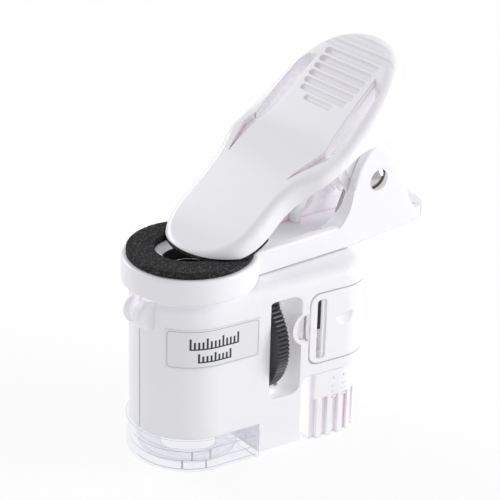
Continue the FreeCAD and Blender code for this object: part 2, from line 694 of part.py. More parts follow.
def battery_cover():
    """U-shaped cover with a flex slot behind each front lip and a nail dent on each flank."""
    z0, z1 = COVER_Z0 + COVER_SEAM, COVER_Z1 - COVER_SEAM
    x0 = COVER_X0 + COVER_SEAM
    shell = body_prism(0, z0, z1).cut(body_prism(-COVER_T, 0, FAR))
    shell = shell.common(rounded_window(x0, FAR, z0, z1, COVER_CORNER_R, -FAR, FAR))
    slot = rounded_window(
        COVER_SLOT_X0, COVER_SLOT_X1, COVER_SLOT_Z0, COVER_SLOT_Z1, 0.9, -FAR, FAR)
    shell = shell.cut(slot)
    dents = []
    for sign in (-1, 1):
        y = sign * (flank_half(NAIL_DENT_X) + NAIL_DENT_R - NAIL_DENT_DEPTH)
        ball = Part.makeSphere(NAIL_DENT_R, Vector(NAIL_DENT_X, y, NAIL_DENT_Z))
        under = box(-FAR, FAR, -FAR, FAR, -FAR, NAIL_DENT_Z)
        under.rotate(Vector(NAIL_DENT_X, 0, NAIL_DENT_Z), Y_AXIS, -NAIL_DENT_SLOPE_DEG)
        dents.append(ball.common(under))
    shell = shell.cut(dents)
    nub_x = x0 - COVER_NUB_OUT + COVER_NUB_R
    nub = rod(COVER_NUB_R, Vector(nub_x, -FAR, POCKET_Z - 0.8), Y_AXIS, FAR)
    nub = nub.common(box(-FAR, x0 + 0.5, -FAR, FAR, -FAR, FAR))
    band = body_prism(-0.2, z0, z1).cut(body_prism(0.2 - COVER_T, 0, FAR))
    near = box(-FAR, FAR, -FAR, 0, -FAR, FAR)
    return shell.fuse(nub.common(band).common(near)).removeSplitter()


def light_switch():
    """Sleeve round the foot of the rear, with grip ribs, a floor and two front flanges."""
    top = CUT_Z - SHELL_GAP
    sink = -SWITCH_SINK
    rear_sink = -SWITCH_REAR_SINK
    outer = body_prism(sink, 0, top, rear_sink).common(box(SWITCH_X0, FAR, -FAR, FAR, -FAR, FAR))
    corners = [e for e in outer.Edges
               if e.BoundBox.ZLength > 1 and e.BoundBox.XMax < SWITCH_X0 + 0.01]
    outer = outer.makeFillet(SWITCH_CORNER_R, corners)
    outer = outer.makeFillet(0.4, edges_at_height(outer, top))
    inner = body_prism(sink - SWITCH_WALL, SWITCH_FLOOR, FAR, rear_sink - SWITCH_WALL)
    flange = box(0, SWITCH_X0 + SWITCH_FLANGE, -FAR, FAR, 0, FAR)
    core_way = box(0, FAR, -CORE_HALF - SHELL_GAP, CORE_HALF + SHELL_GAP, SWITCH_FLOOR, FAR)
    room = inner.cut(flange).fuse(core_way.common(flange))
    return outer.cut(room).cut(grip_grooves(sink, rear_sink))


def grip_grooves(sink, rear_sink):
    """Upright grooves that follow both flanks and the rear."""
    depth_cut = body_prism(sink + 3.0, -1, SWITCH_RIB_TOP_Z, rear_sink + 3.0)
    depth_cut = depth_cut.cut(
        body_prism(sink - SWITCH_GROOVE_DEPTH, -2, FAR, rear_sink - SWITCH_GROOVE_DEPTH))
    bars = []
    for row in range(SWITCH_RIBS):
        x = SWITCH_X0 + row * SWITCH_RIB_PITCH
        bars.append(box(x, x + SWITCH_GROOVE_W, -FAR, FAR, -1, SWITCH_RIB_TOP_Z))
    centre_x = REAR_X + rear_sink - REAR_CORNER_R - sink
    first = SWITCH_X0 + SWITCH_RIBS * SWITCH_RIB_PITCH
    swing_r = REAR_CORNER_R + sink
    centre_y = (NOSE_R - REAR_CORNER_R) / math.cos(math.radians(FLARE_DEG))
    centre_y += centre_x * math.tan(math.radians(FLARE_DEG))
    start = (first + SWITCH_GROOVE_W / 2 - centre_x) / swing_r
    for row in range(4):
        angle = -math.pi / 2 + start + row * SWITCH_RIB_PITCH / swing_r
        for sign in (1, -1):
            bar = box(0, FAR, -SWITCH_GROOVE_W / 2, SWITCH_GROOVE_W / 2, -1, SWITCH_RIB_TOP_Z)
            bar.rotate(Vector(0, 0, 0), Z_AXIS, sign * math.degrees(angle))
            bar.translate(Vector(centre_x, -sign * centre_y, 0))
            bars.append(bar)
    for row in range(SWITCH_REAR_RIBS):
        y = (row - (SWITCH_REAR_RIBS - 1) / 2) * SWITCH_RIB_PITCH
        wide = SWITCH_GROOVE_W / 2
        bars.append(box(centre_x, FAR, y - wide, y + wide, -1, SWITCH_RIB_TOP_Z))
    return bars[0].fuse(bars[1:]).common(depth_cut)


def housing_screw(place_xz):
    """Pan-head screw, its head sunk in the far wall."""
    x, z = place_xz
    face = CORE_HALF if x > CUT_X else flank_half(x)
    head_y = face - 0.2
    head = rod(SCREW_HEAD_R, Vector(x, head_y, z), -Y_AXIS, SCREW_HEAD_H)
    shank = rod(SCREW_R, Vector(x, head_y, z), -Y_AXIS, SCREW_LEN)
    cross = []
    for size_x, size_z in ((1.3, 0.25), (0.25, 1.3)):
        cross.append(box(x - size_x, x + size_x, head_y - 0.6, head_y + 1, z - size_z, z + size_z))
    return head.fuse(shank).cut(cross)


def screw_room(place_xz):
    x, z = place_xz
    face = CORE_HALF if x > CUT_X else flank_half(x)
    head_y = face - 0.2
    head = rod(SCREW_HEAD_R + 0.1, Vector(x, head_y - SCREW_HEAD_H, z), Y_AXIS, FAR)
    shank = rod(SCREW_R + 0.1, Vector(x, head_y - SCREW_LEN - 0.2, z), Y_AXIS, FAR)
    return head.fuse(shank)


def clip_arm():
    """Collar, dished arm, two ears and the squeeze tail, moulded in one."""
    collar = rod(COLLAR_R, Vector(0, 0, COLLAR_Z0), Z_AXIS, COLLAR_TOP_Z - COLLAR_Z0)
    arm = arm_prism(0, ARM_Z0, COLLAR_TOP_Z)
    tail = loop([side(TAIL_SLOPE_X, COLLAR_TOP_Z), side(TAIL_SLOPE_X, FAR), side(FAR, FAR),
                 side(FAR, TAIL_END_Z), side(ARM_END_X, TAIL_END_Z)])
    arm = arm.cut(prism_y(tail, -FAR, FAR))
    body = collar.fuse(arm).removeSplitter()
    rounds = [e for e in body.Edges if e.BoundBox.ZMin > TAIL_END_Z - 0.5
              and not (e.BoundBox.XLength < 0.01 and e.BoundBox.XMin > COLLAR_R)]
    body = body.makeFillet(COLLAR_ROUND, rounds)
    tray = arm_prism(-ARM_WALL, ARM_Z0 + ARM_FLOOR, FAR)
    tray = tray.common(box(COLLAR_R + 0.6, TRAY_END_X, -FAR, FAR, -FAR, FAR))
    body = body.cut(tray)
    bore = rod(NECK_R + SEAT_GAP, Vector(0, 0, 0), Z_AXIS, NECK_TOP_Z + SEAT_GAP)
    hole = rod(COLLAR_HOLE_R, Vector(0, 0, 0), Z_AXIS, FAR)
    body = body.cut(bore.fuse(hole))
    body = body.fuse([ear(-1), ear(1)]).removeSplitter()
    rise = ARM_RISE * (FAR - ARM_RISE_X)
    under = loop([side(ARM_RISE_X, ARM_Z0), side(FAR, ARM_Z0 + rise), side(FAR, 0), side(ARM_RISE_X, 0)])
    body = body.cut(prism_y(under, -FAR, FAR))
    return body.cut(rod(PIN_R + SEAT_GAP, Vector(PIVOT_X, -FAR, PIVOT_Z), Y_AXIS, 2 * FAR))


def arm_prism(grow, z0, z1):
    """Plan outline of the arm: straight, then narrowing to a round tail."""
    half = ARM_HALF + grow
    narrow = ARM_NARROW_HALF + grow
    end_x = ARM_END_X + grow
    near = [plan(0, -half), plan(ARM_STRAIGHT_X, -half), plan(ARM_NARROW_X, -narrow)]
    far = [plan(p.x, -p.y) for p in near]
    edges = [line(far[0], near[0]), line(near[0], near[1]), line(near[1], near[2])]
    edges += [arc(near[2], plan(end_x, 0), far[2]), line(far[2], far[1]), line(far[1], far[0])]
    return prism_z(edges, z0, z1)


def ear_outline():
    """Side outline of an ear, swept forward at its foot and round at its top."""
    foot = ARM_Z0 + 0.4
    front = curve([
        side(35.5, COLLAR_TOP_Z - 1.0), side(38.8, 51.6), side(40.9, 55.0), side(41.9, 59.5),
        side(43.4, 64.3), side(45.8, 68.0), side(48.8, 69.8), side(51.6, 68.6),
        side(54.2, 65.2), side(56.8, 60.4), side(59.6, 54.8), side(62.4, 50.0), side(64.4, 48.2),
    ])
    return [front, line(side(64.4, 48.2), side(64.4, foot)), line(side(64.4, foot), side(35.5, foot)),
            line(side(35.5, foot), side(35.5, COLLAR_TOP_Z - 1.0))]


def ear(sign):
    """Ear that carries the pivot pin, thickened inwards along its front edge."""
    outer, inner = ARM_HALF, ARM_HALF - EAR_T
    plate = prism_y(ear_outline(), -outer, -inner)
    brow = [e for e in plate.Edges if e.Length > 30 and abs(e.BoundBox.YMin + outer) < 0.01
            and abs(e.BoundBox.YMax + outer) < 0.01 and e.BoundBox.ZLength > 10]
    plate = plate.makeFillet(EAR_ROUND, brow)
    strip = prism_y(ear_outline(), -outer, -GUSSET_Y0)
    behind = strip.copy()
    behind.translate(Vector(GUSSET_X, 0, 0))
    wedge_points = [Vector(0, -outer, ARM_Z0), Vector(0, -GUSSET_Y0, ARM_Z0),
                    Vector(0, -GUSSET_Y0, COLLAR_TOP_Z), Vector(0, -inner, GUSSET_TOP_Z),
                    Vector(0, -outer, GUSSET_TOP_Z)]
    wedge = Part.Face(Part.Wire(loop(wedge_points))).extrude(Vector(PIVOT_X - GUSSET_X, 0, 0))
    gusset = strip.cut(behind).common(wedge).common(box(0, PIVOT_X, -FAR, FAR, ARM_Z0 + 1, FAR))
    shape = plate.fuse(gusset).removeSplitter()
    if sign > 0:
        shape = shape.mirror(Vector(0, 0, 0), Y_AXIS)
    return shape


def pivot_pin():
    """Rivet with a domed head at each end."""
    reach = ARM_HALF
    shank = rod(PIN_R, Vector(PIVOT_X, -reach, PIVOT_Z), Y_AXIS, 2 * reach)
    heads = []
    for sign in (-1, 1):
        ball_r = (PIN_HEAD_R ** 2 + PIN_HEAD_H ** 2) / (2 * PIN_HEAD_H)
        centre = Vector(PIVOT_X, sign * (reach + PIN_HEAD_H - ball_r), PIVOT_Z)
        ball = Part.makeSphere(ball_r, centre)
        start = Vector(PIVOT_X, sign * reach, PIVOT_Z)
        heads.append(ball.common(rod(PIN_HEAD_R + 1, start, Y_AXIS * sign, FAR)))
    return shank.fuse(heads)


def foam_ring():
    ring = rod(FOAM_R, Vector(0, 0, COLLAR_TOP_Z), Z_AXIS, FOAM_T)
    ring = ring.cut(rod(FOAM_HOLE_R, Vector(0, 0, 0), Z_AXIS, FAR))
    press = prism_z(lever_plan(JAW_GAP), 0, FAR).common(below_lever())
    pressed = press.cut(below_lever(PAD_T + JAW_GAP))
    above = pressed.common(box(-FAR, PAD_END_X, -FAR, FAR, 0, FAR))
    return ring.cut(above)


def mirrored_spline(points):
    """Smooth run through half an outline that meets its own mirror image squarely."""
    lead = [plan(p.x, -p.y) for p in reversed(points[1:4])]
    trail = [plan(p.x, -p.y) for p in reversed(points[-4:-1])]
    spline = Part.BSplineCurve()
    spline.interpolate(Points=lead + points + trail)
    spline.segment(spline.parameter(points[0]), spline.parameter(points[-1]))
    return spline


def lever_plan(grow):
    """Plan outline of the lever, grown outward or inward, mirrored about its middle."""
    stations = [plan(-3.7, 0.0), plan(-2.8, 5.0), plan(0.0, 9.7), plan(4.8, 12.9), plan(10.0, 13.7),
                plan(16.0, 13.7), plan(20.5, 15.0), plan(24.5, 17.0), plan(29.0, 17.9), plan(36.0, 17.7),
                plan(42.0, 16.7), plan(47.0, 14.6), plan(51.0, 10.9), plan(53.0, 5.4), plan(53.5, 0.0)]
    base = mirrored_spline(stations)
    moved = []
    for point in stations:
        way = base.tangent(base.parameter(point))[0]
        moved.append(plan(point.x - way.y * grow, point.y + way.x * grow))
    moved[0].y = 0.0
    moved[-1].y = 0.0
    far = mirrored_spline(moved).toShape()
    return [far, far.mirror(Vector(0, 0, 0), Y_AXIS)]


def lever_top():
    """Side line of the lever's top: the tip, the paddle, the dip and the thumb pad."""
    return [side(-4.5, 53.2), side(-1.0, 54.3), side(5.3, 57.6), side(12.0, 62.9), side(18.2, 67.8),
            side(23.5, 71.0), side(29.5, 74.0), side(36.7, 79.8), side(50.0, 91.3), side(55.0, 95.0)]


def below_lever(drop=0.0):
    """Everything under the lever's lower edge, from under the tip to the rear of the cheeks."""
    foot = [side(4.6, 53.0), side(9.0, 54.7), side(12.6, 57.0), side(16.5, 60.6), side(20.6, 64.3),
            side(25.0, 67.8), side(30.0, 70.9), side(35.0, 73.1), side(44.0, 74.3), side(51.5, 74.8)]
    back = [foot[-1], side(51.5, 82.0), side(53.0, 88.0), side(53.0, 90.0), side(70.0, 90.0),
            side(70.0, 20.0), side(-5.0, 20.0), side(-5.0, 53.0), foot[0]]
    edges = [curve(foot)] + [line(a, b) for a, b in zip(back, back[1:])]
    region = prism_y(edges, -FAR, FAR)
    region.translate(Vector(0.35 * drop, 0, -0.94 * drop))
    return region


def lever_block(drop, grow):
    """Block under the top line, lowered by drop, inside the plan outline grown by grow."""
    top = [Vector(p.x, 0, p.z - drop) for p in lever_top()]
    under = side(top[-1].x, 40.0), side(top[0].x, 40.0)
    edges = [curve(top), line(top[-1], under[0]), line(under[0], under[1]), line(under[1], top[0])]
    slab = prism_y(edges, -30, 30)
    return slab.common(prism_z(lever_plan(grow), 0, FAR + 20))


def clip_lever():
    """Hollow paddle with deepening cheeks, two long slots, grooves and the pivot lugs."""
    outer = lever_block(0, 0)
    rim = [e for e in outer.Edges if e.BoundBox.ZMin > 45]
    outer = outer.makeFillet(LEVER_ROUND, rim)
    hollow = lever_block(LEVER_T, -LEVER_SKIN)
    lever = outer.cut(below_lever()).cut(hollow.common(box(5.5, FAR, -FAR, FAR, 0, FAR)))
    lugs = lever_lugs(hollow)
    lever = lever.cut(side_slots() + ramp_grooves()).cut(thumb_grooves())
    lever = lever.fuse(lugs).removeSplitter()
    return lever.cut(rod(PIN_R + RUN_GAP, Vector(PIVOT_X, -FAR, PIVOT_Z), Y_AXIS, 2 * FAR))


def lever_lugs(hollow):
    """Two plates that run square down from the lever to the pivot pin."""
    along = Vector(0.593, 0, -0.805)
    across = Vector(0.805, 0, 0.593)
    pivot = side(PIVOT_X, PIVOT_Z)
    high = 24.0
    corners = [pivot - across * LEVER_LUG_HALF - along * high,
               pivot - across * LEVER_LUG_HALF + along * LEVER_LUG_END,
               pivot + across * LEVER_LUG_HALF + along * LEVER_LUG_END,
               pivot + across * LEVER_LUG_HALF - along * high]
    shapes = []
    for y0 in (LUG_INNER_Y, -LUG_INNER_Y - LEVER_LUG_T):
        plate = prism_y(loop(corners), y0, y0 + LEVER_LUG_T)
        bottom = [e for e in plate.Edges
                  if abs(e.BoundBox.YLength - LEVER_LUG_T) < 0.01 and e.BoundBox.ZMax < PIVOT_Z]
        plate = plate.makeFillet(2.0, bottom)
        kept = plate.common(hollow)
        shapes.append(kept)
    return shapes


def side_slots():
    """Long slots between the tongue and the side rails, running out in a ramp at the front."""
    slots = []
    for sign in (1, -1):
        inner = [plan(28.6, 12.6), plan(32.5, 11.4), plan(37.0, 10.9), plan(45.4, 10.4)]
        outer = [plan(45.2, 12.9), plan(43.4, 14.3), plan(39.0, 14.9), plan(33.0, 14.9), plan(29.6, 14.2)]
        points = [plan(p.x, sign * p.y) for p in inner + outer]
        slots.append(prism_z(loop(points), 60.0, FAR))
    return slots


def ramp_grooves():
    """Shallow wedge in front of each slot that runs out to a point."""
    top = [Vector(p.x, 0, p.z - RAMP_DEPTH) for p in lever_top()]
    roof = [side(top[-1].x, FAR), side(top[0].x, FAR)]
    edges = [curve(top), line(top[-1], roof[0]), line(roof[0], roof[1]), line(roof[1], top[0])]
    above = prism_y(edges, -30, 30)
    wedges = []
    for sign in (1, -1):
        points = [(19.2, 10.9), (29.2, 12.4), (30.4, 14.6), (27.4, 14.9)]
        outline = loop([plan(x, sign * y) for x, y in points])
        wedges.append(prism_z(outline, 60.0, FAR).common(above))
    return wedges


def thumb_grooves():
    """Cross grooves with round ends over the thumb pad, parallel to its surface."""
    slope = Vector(46.7 - 36.7, 0, 88.1 - 79.6)
    slope.normalize()
    lift = THUMB_GROOVE_R - THUMB_GROOVE_SINK
    first = side(50.2, 91.45) + Vector(-slope.z, 0, slope.x) * lift
    tools = []
    for row, half in enumerate(THUMB_GROOVE_HALVES):
        centre = first - slope * (row * THUMB_GROOVE_PITCH)
        reach = half - THUMB_GROOVE_R
        tools.append(rod(THUMB_GROOVE_R, centre - Y_AXIS * reach, Y_AXIS, 2 * reach))
        tools.append(Part.makeSphere(THUMB_GROOVE_R, centre - Y_AXIS * reach))
        tools.append(Part.makeSphere(THUMB_GROOVE_R, centre + Y_AXIS * reach))
    return tools


def jaw_pad():
    """Foam pad under the lever's tip that follows its lower edge."""
    pad = prism_z(lever_plan(-PAD_INSET), 0, FAR).common(below_lever())
    pad = pad.cut(below_lever(PAD_T))
    return pad.common(box(-FAR, PAD_END_X, -FAR, FAR, 0, FAR))


def lower_leg_length():
    """Length that brings the lower leg's end down to the tray floor."""
    turn = math.radians(LEG_DOWN_DEG)
    drop = PIVOT_Z + SPRING_R * math.sin(turn) - ARM_Z0 - ARM_FLOOR - RUN_GAP
    return (drop - WIRE_R * abs(math.sin(turn))) / math.cos(turn)


def torsion_spring():
    """Wire coil round the pivot pin, one leg on the arm's floor and one under the lever."""
    turn = LEG_UP_DEG - LEG_DOWN_DEG
    height = SPRING_PITCH * (SPRING_TURNS + turn / 360.0)
    helix = Part.makeHelix(SPRING_PITCH, height, SPRING_R)
    climb = SPRING_PITCH / (2 * math.pi * SPRING_R)
    start_way = Vector(0, 1, climb)
    section = Part.Wire(Part.makeCircle(WIRE_R, Vector(SPRING_R, 0, 0), start_way))
    coil = Part.Wire(helix).makePipeShell([section], True, True)
    ends = sorted((f for f in coil.Faces if f.Area < 4 * WIRE_R ** 2), key=lambda f: f.CenterOfMass.z)
    legs = []
    for face, length in zip(ends, (lower_leg_length(), LEG_UP_LEN)):
        legs.append(face.extrude(face.normalAt(0, 0) * length))
    spring = coil.fuse(legs)
    spring.rotate(Vector(0, 0, 0), Z_AXIS, LEG_DOWN_DEG)
    spring.translate(Vector(0, 0, -height / 2))
    spring.rotate(Vector(0, 0, 0), X_AXIS, 90)
    spring.translate(Vector(PIVOT_X, 0, PIVOT_Z))
    return spring


def build():
    os.makedirs("parts", exist_ok=True)
    shell = body_shell()
    shell = shell.cut([screw_room(at) for at in SCREW_PLACES])
    place("housing_near", housing_near(shell))
    place("housing_far", housing_far(shell))
    place("clear_base", clear_base())
    place("label_plate", label_band(-LABEL_SINK, LABEL_T))
    place("focus_wheel", focus_wheel())
    place("wheel_axle", wheel_axle())
    place("focus_pinion", focus_pinion())
    place("lens_carriage", lens_carriage())
    tip_z = TUBE_Z0 - TIP_H
    place("objective_lens", lens(OBJECTIVE_R, OBJECTIVE_T, 0.8, tip_z + OBJECTIVE_CAP_H + OBJECTIVE_T / 2))
    place("objective_cap", objective_cap())
    place("eyepiece_tube", eyepiece_tube())
    place("eyepiece_lens", lens(EYE_LENS_R, EYE_LENS_T, 0.9, EYE_LENS_SEAT_Z + EYE_LENS_T / 2))
    place("lamp_board", lamp_board())
    for number, angle in enumerate(LAMP_ANGLES, 1):
        place(f"lamp_{number}", lamp(angle))
    place("battery_holder", battery_holder())
    for number in range(3):
        place(f"battery_cell_{number + 1}", battery_cell(number))
    place("contact_near", battery_contact(-1))
    place("contact_far", battery_contact(1))
    place("battery_cover", battery_cover())
    place("light_switch", light_switch())
    for number, at in enumerate(SCREW_PLACES, 1):
        place(f"housing_screw_{number}", housing_screw(at))
    place("clip_arm", clip_arm())
    place("foam_ring", foam_ring())
    place("pivot_pin", pivot_pin())
    place("clip_lever", clip_lever())
    place("jaw_pad", jaw_pad())
    place("torsion_spring", torsion_spring())


build()
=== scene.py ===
# %% [markdown]
# # A clip-on pocket microscope, seen as in a product photo
# The object is a white spring clip with a foam ring, and under it a small microscope with a
# focus wheel and a clear base. The shapes come from the packed solids. This script gives them
# their surfaces, adds the soft and the printed pieces, and sets the camera and the light.
# %% Tools
import math

import bpy
import numpy as np
from mathutils import Matrix, Vector
from mathutils.bvhtree import BVHTree


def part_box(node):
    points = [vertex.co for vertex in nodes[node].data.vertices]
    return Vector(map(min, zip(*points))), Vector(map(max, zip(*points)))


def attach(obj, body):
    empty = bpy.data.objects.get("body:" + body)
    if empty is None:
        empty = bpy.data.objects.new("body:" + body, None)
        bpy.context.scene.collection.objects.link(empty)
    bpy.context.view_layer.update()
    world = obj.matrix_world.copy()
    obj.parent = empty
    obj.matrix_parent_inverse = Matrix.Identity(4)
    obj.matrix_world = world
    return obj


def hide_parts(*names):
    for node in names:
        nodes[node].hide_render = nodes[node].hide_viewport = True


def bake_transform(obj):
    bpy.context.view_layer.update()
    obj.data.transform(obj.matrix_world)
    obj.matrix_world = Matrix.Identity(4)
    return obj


MM = 0.001
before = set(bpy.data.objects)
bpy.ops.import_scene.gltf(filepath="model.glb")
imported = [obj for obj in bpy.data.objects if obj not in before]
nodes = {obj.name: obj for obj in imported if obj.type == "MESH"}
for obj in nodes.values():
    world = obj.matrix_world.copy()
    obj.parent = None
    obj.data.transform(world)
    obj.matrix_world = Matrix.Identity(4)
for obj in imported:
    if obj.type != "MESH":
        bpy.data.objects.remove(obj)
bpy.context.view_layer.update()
scene = bpy.context.scene
print("solids loaded:", len(nodes))

# %% [markdown]
# The camera comes first, because everything is judged through it. It stands in front of the
# label and the wheel, a little above, with a long lens. Its three axes are built from the turn
# and the height of the view, so the picture lines up with the photo.
# %% Camera
VIEW_TURN, VIEW_HEIGHT, VIEW_ROLL = (math.radians(a) for a in (-38.50, 25.07, 1.50))
VIEW_DISTANCE = 450 * MM
VIEW_TARGET = Vector((16.95, -1.04, 47.44)) * MM
LENS, SENSOR = 136.2, 36.0
NEAR, FAR = 0.01, 10.0


def camera_axes(turn, height, roll):
    """Right, up and back of a camera that looks at the object from a turn and a height."""
    level_back = Vector((math.sin(turn), -math.cos(turn), 0))
    back = math.cos(height) * level_back + Vector((0, 0, math.sin(height)))
    level = Vector((math.cos(turn), math.sin(turn), 0))
    upright = back.cross(level)
    right = math.cos(roll) * level + math.sin(roll) * upright
    up = math.cos(roll) * upright - math.sin(roll) * level
    return right, up, back


right, up, back = camera_axes(VIEW_TURN, VIEW_HEIGHT, VIEW_ROLL)
camera = bpy.data.objects.new("camera", bpy.data.cameras.new("camera"))
scene.collection.objects.link(camera)
camera.data.lens, camera.data.sensor_width = LENS, SENSOR
camera.data.clip_start, camera.data.clip_end = NEAR, FAR
place = VIEW_TARGET + back * VIEW_DISTANCE
rows = [[right[i], up[i], back[i], place[i]] for i in range(3)]
camera.matrix_world = Matrix(rows + [[0, 0, 0, 1]])
scene.camera = camera
print("camera at", tuple(round(v, 4) for v in place))

# %% [markdown]
# A surface is a small network of sums. Written node by node it is hard to read, so one output
# of a node is wrapped in a class that understands plus, minus and times. Each sign adds one Math
# node.
# %% Sums with sockets


class Sock:
    """One output of a shader node. Sums with it become Math nodes."""

    def __init__(self, network, out):
        self.network, self.out = network, out

    def math(self, operation, *values):
        settings = {"operation": operation}
        return self.network.node("ShaderNodeMath", settings, dict(enumerate(values)))

    def __add__(self, other):
        return self.math("ADD", self, other)

    def __sub__(self, other):
        return self.math("SUBTRACT", self, other)

    def __rsub__(self, other):
        return self.math("SUBTRACT", other, self)

    def __mul__(self, other):
        return self.math("MULTIPLY", self, other)

    __radd__, __rmul__ = __add__, __mul__

    def ramp(self, low, high):
        """Smooth 0 to 1 between two values."""
        ends = {"Value": self, "From Min": low, "From Max": high}
        return self.network.node("ShaderNodeMapRange", {"interpolation_type": "SMOOTHSTEP"}, ends)

    def clamped(self):
        """The value kept between 0 and 1."""
        settings = {"operation": "ADD", "use_clamp": True}
        return self.network.node("ShaderNodeMath", settings, {0: self, 1: 0.0})

    def blend(self, colour_a, colour_b):
        """Colour a where the value is 0 and colour b where it is 1."""
        ends = {0: self, 6: colour_a, 7: colour_b}
        return self.network.node("ShaderNodeMix", {"data_type": "RGBA"}, ends, 2)


print("a socket can:", [name for name in vars(Sock) if not name.startswith("__")])

# %% [markdown]
# Every other node comes from one method, which takes the node's type, its settings and what its
# sockets get. A network can belong to a material or to the world.
# %% Networks and surfaces
BEVEL_SAMPLES, AIR_SAMPLES = 6, 5


class Network:
    """A node tree that is built with Socks."""

    def __init__(self, tree):
        self.tree = tree

    def feed(self, socket, value):
        """Link a Sock to a socket, or write a plain value on it."""
        if isinstance(value, Sock):
            self.tree.links.new(value.out, socket)
        elif socket.type == "RGBA":
            socket.default_value = (*value, 1)
        else:
            socket.default_value = value

    def node(self, kind, settings, inputs, out=0):
        """Add a node, set it up, feed its sockets and hand back one of its outputs, if any."""
        node = self.tree.nodes.new(kind)
        for name, value in settings.items():
            setattr(node, name, value)
        for socket, value in inputs.items():
            self.feed(node.inputs[socket], value)
        return Sock(self, node.outputs[out]) if node.outputs else None

    def ray_is(self, *kinds):
        """1 for rays of these kinds and 0 for all others."""
        flags = [self.node("ShaderNodeLightPath", {}, {}, f"Is {kind} Ray") for kind in kinds]
        found = flags[0]
        for flag in flags[1:]:
            found = found.math("MAXIMUM", found, flag)
        return found


class Surface(Network):
    """A material under construction round its Principled shader."""

    def __init__(self, name, **inputs):
        self.material = bpy.data.materials.new(name)
        self.material.use_nodes = True
        super().__init__(self.material.node_tree)
        self.shader = self.tree.nodes["Principled BSDF"]
        self.set(**inputs)

    def set(self, **inputs):
        for name, value in inputs.items():
            self.feed(self.shader.inputs[name.replace("_", " ")], value)
        return self

    def coords(self):
        return self.node("ShaderNodeTexCoord", {}, {}, "Object")

    def noise(self, per_mm, detail=2.0):
        """Smooth noise from 0 to 1 with so many bumps in a millimetre."""
        inputs = {"Vector": self.coords(), "Scale": per_mm / MM, "Detail": detail}
        return self.node("ShaderNodeTexNoise", {}, inputs)

    def speckle(self, per_mm):
        """A random value from 0 to 1 for each of so many cells in a millimetre."""
        inputs = {"Vector": self.coords(), "Scale": per_mm / MM}
        cell = self.node("ShaderNodeTexVoronoi", {}, inputs, "Color")
        return self.node("ShaderNodeSeparateColor", {}, {0: cell})

    def open_air(self, reach_mm, own_only=True):
        """1 in the open, falling towards 0 in corners, of this piece alone or among all."""
        inputs = {"Distance": reach_mm * MM}
        settings = {"samples": AIR_SAMPLES, "only_local": own_only}
        return self.node("ShaderNodeAmbientOcclusion", settings, inputs, "AO")

    def facing(self):
        return self.node("ShaderNodeNewGeometry", {}, {}, "Normal")

    def eased(self, edge_mm):
        """The way the surface faces, with its edges rounded for the light only."""
        return self.node("ShaderNodeBevel", {"samples": BEVEL_SAMPLES}, {"Radius": edge_mm * MM})

    def alike(self, way_a, way_b):
        """1 where two directions agree and 0 where they are square to each other."""
        settings = {"operation": "DOT_PRODUCT"}
        return self.node("ShaderNodeVectorMath", settings, {0: way_a, 1: way_b}, "Value")

    def relief(self, height, depth_mm, edge_mm=0.0):
        """Fine bumps, on top of eased edges if a width is given for them."""
        inputs = {"Height": height, "Distance": depth_mm * MM}
        if edge_mm:
            inputs["Normal"] = self.eased(edge_mm)
        return self.set(Normal=self.node("ShaderNodeBump", {}, inputs))

    def mix_in(self, share, other):
        """Show another shader in place of the Principled one, by a share from 0 to 1."""
        own = Sock(self, self.shader.outputs[0])
        mixed = self.node("ShaderNodeMixShader", {}, {0: share, 1: own, 2: other})
        self.tree.links.new(mixed.out, self.tree.nodes["Material Output"].inputs[0])
        return self


def dress(surface, *names):
    """Give a surface to CAD pieces."""
    for name in names:
        piece = nodes[name]
        piece.data.materials.clear()
        piece.data.materials.append(surface.material)


print("a surface can:", [name for name in vars(Surface) if not name.startswith("__")])

# %% [markdown]
# The real picture is lit by large soft boxes left and right of a white table, which leaves the
# front of the nose a little darker than its sides. Here a pale world gives most of the light and
# two broad lamps stand for the boxes. The camera, and what looks through glass, see the world as
# plain white.
# %% Light
SKY_LEVEL = 0.68
SKY_TINT = (0.975, 0.975, 1.0)
PURE_WHITE = (1, 1, 1)
BOX_SIZE = 500
# Name, place and aim in mm, and power in watts.
SOFT_BOXES = (
    ("box_right", (740, -560, 400), (20, 0, 40), 5.0),
    ("box_left", (-175, 880, 470), (5, 0, 50), 3.2),
)


def soft_world():
    world = bpy.data.worlds.new("studio")
    world.use_nodes = True
    world.node_tree.nodes.clear()
    studio = Network(world.node_tree)
    lit = studio.node("ShaderNodeBackground", {}, {0: SKY_TINT, 1: SKY_LEVEL})
    seen = studio.node("ShaderNodeBackground", {}, {0: PURE_WHITE, 1: 1.0})
    looked_at = studio.ray_is("Camera", "Transmission")
    mixed = studio.node("ShaderNodeMixShader", {}, {0: looked_at, 1: lit, 2: seen})
    studio.node("ShaderNodeOutputWorld", {}, {0: mixed})
    scene.world = world


def soft_box(name, place_mm, aim_mm, watts):
    """A round area lamp that looks at the object."""
    data = bpy.data.lights.new(name, "AREA")
    data.shape, data.size, data.energy = "DISK", BOX_SIZE * MM, watts
    lamp = bpy.data.objects.new(name, data)
    lamp.location = Vector(place_mm) * MM
    way = Vector(aim_mm) * MM - lamp.location
    lamp.rotation_euler = way.to_track_quat("-Z", "Y").to_euler()
    scene.collection.objects.link(lamp)


soft_world()
for box in SOFT_BOXES:
    soft_box(*box)
scene.view_settings.view_transform = "Standard"

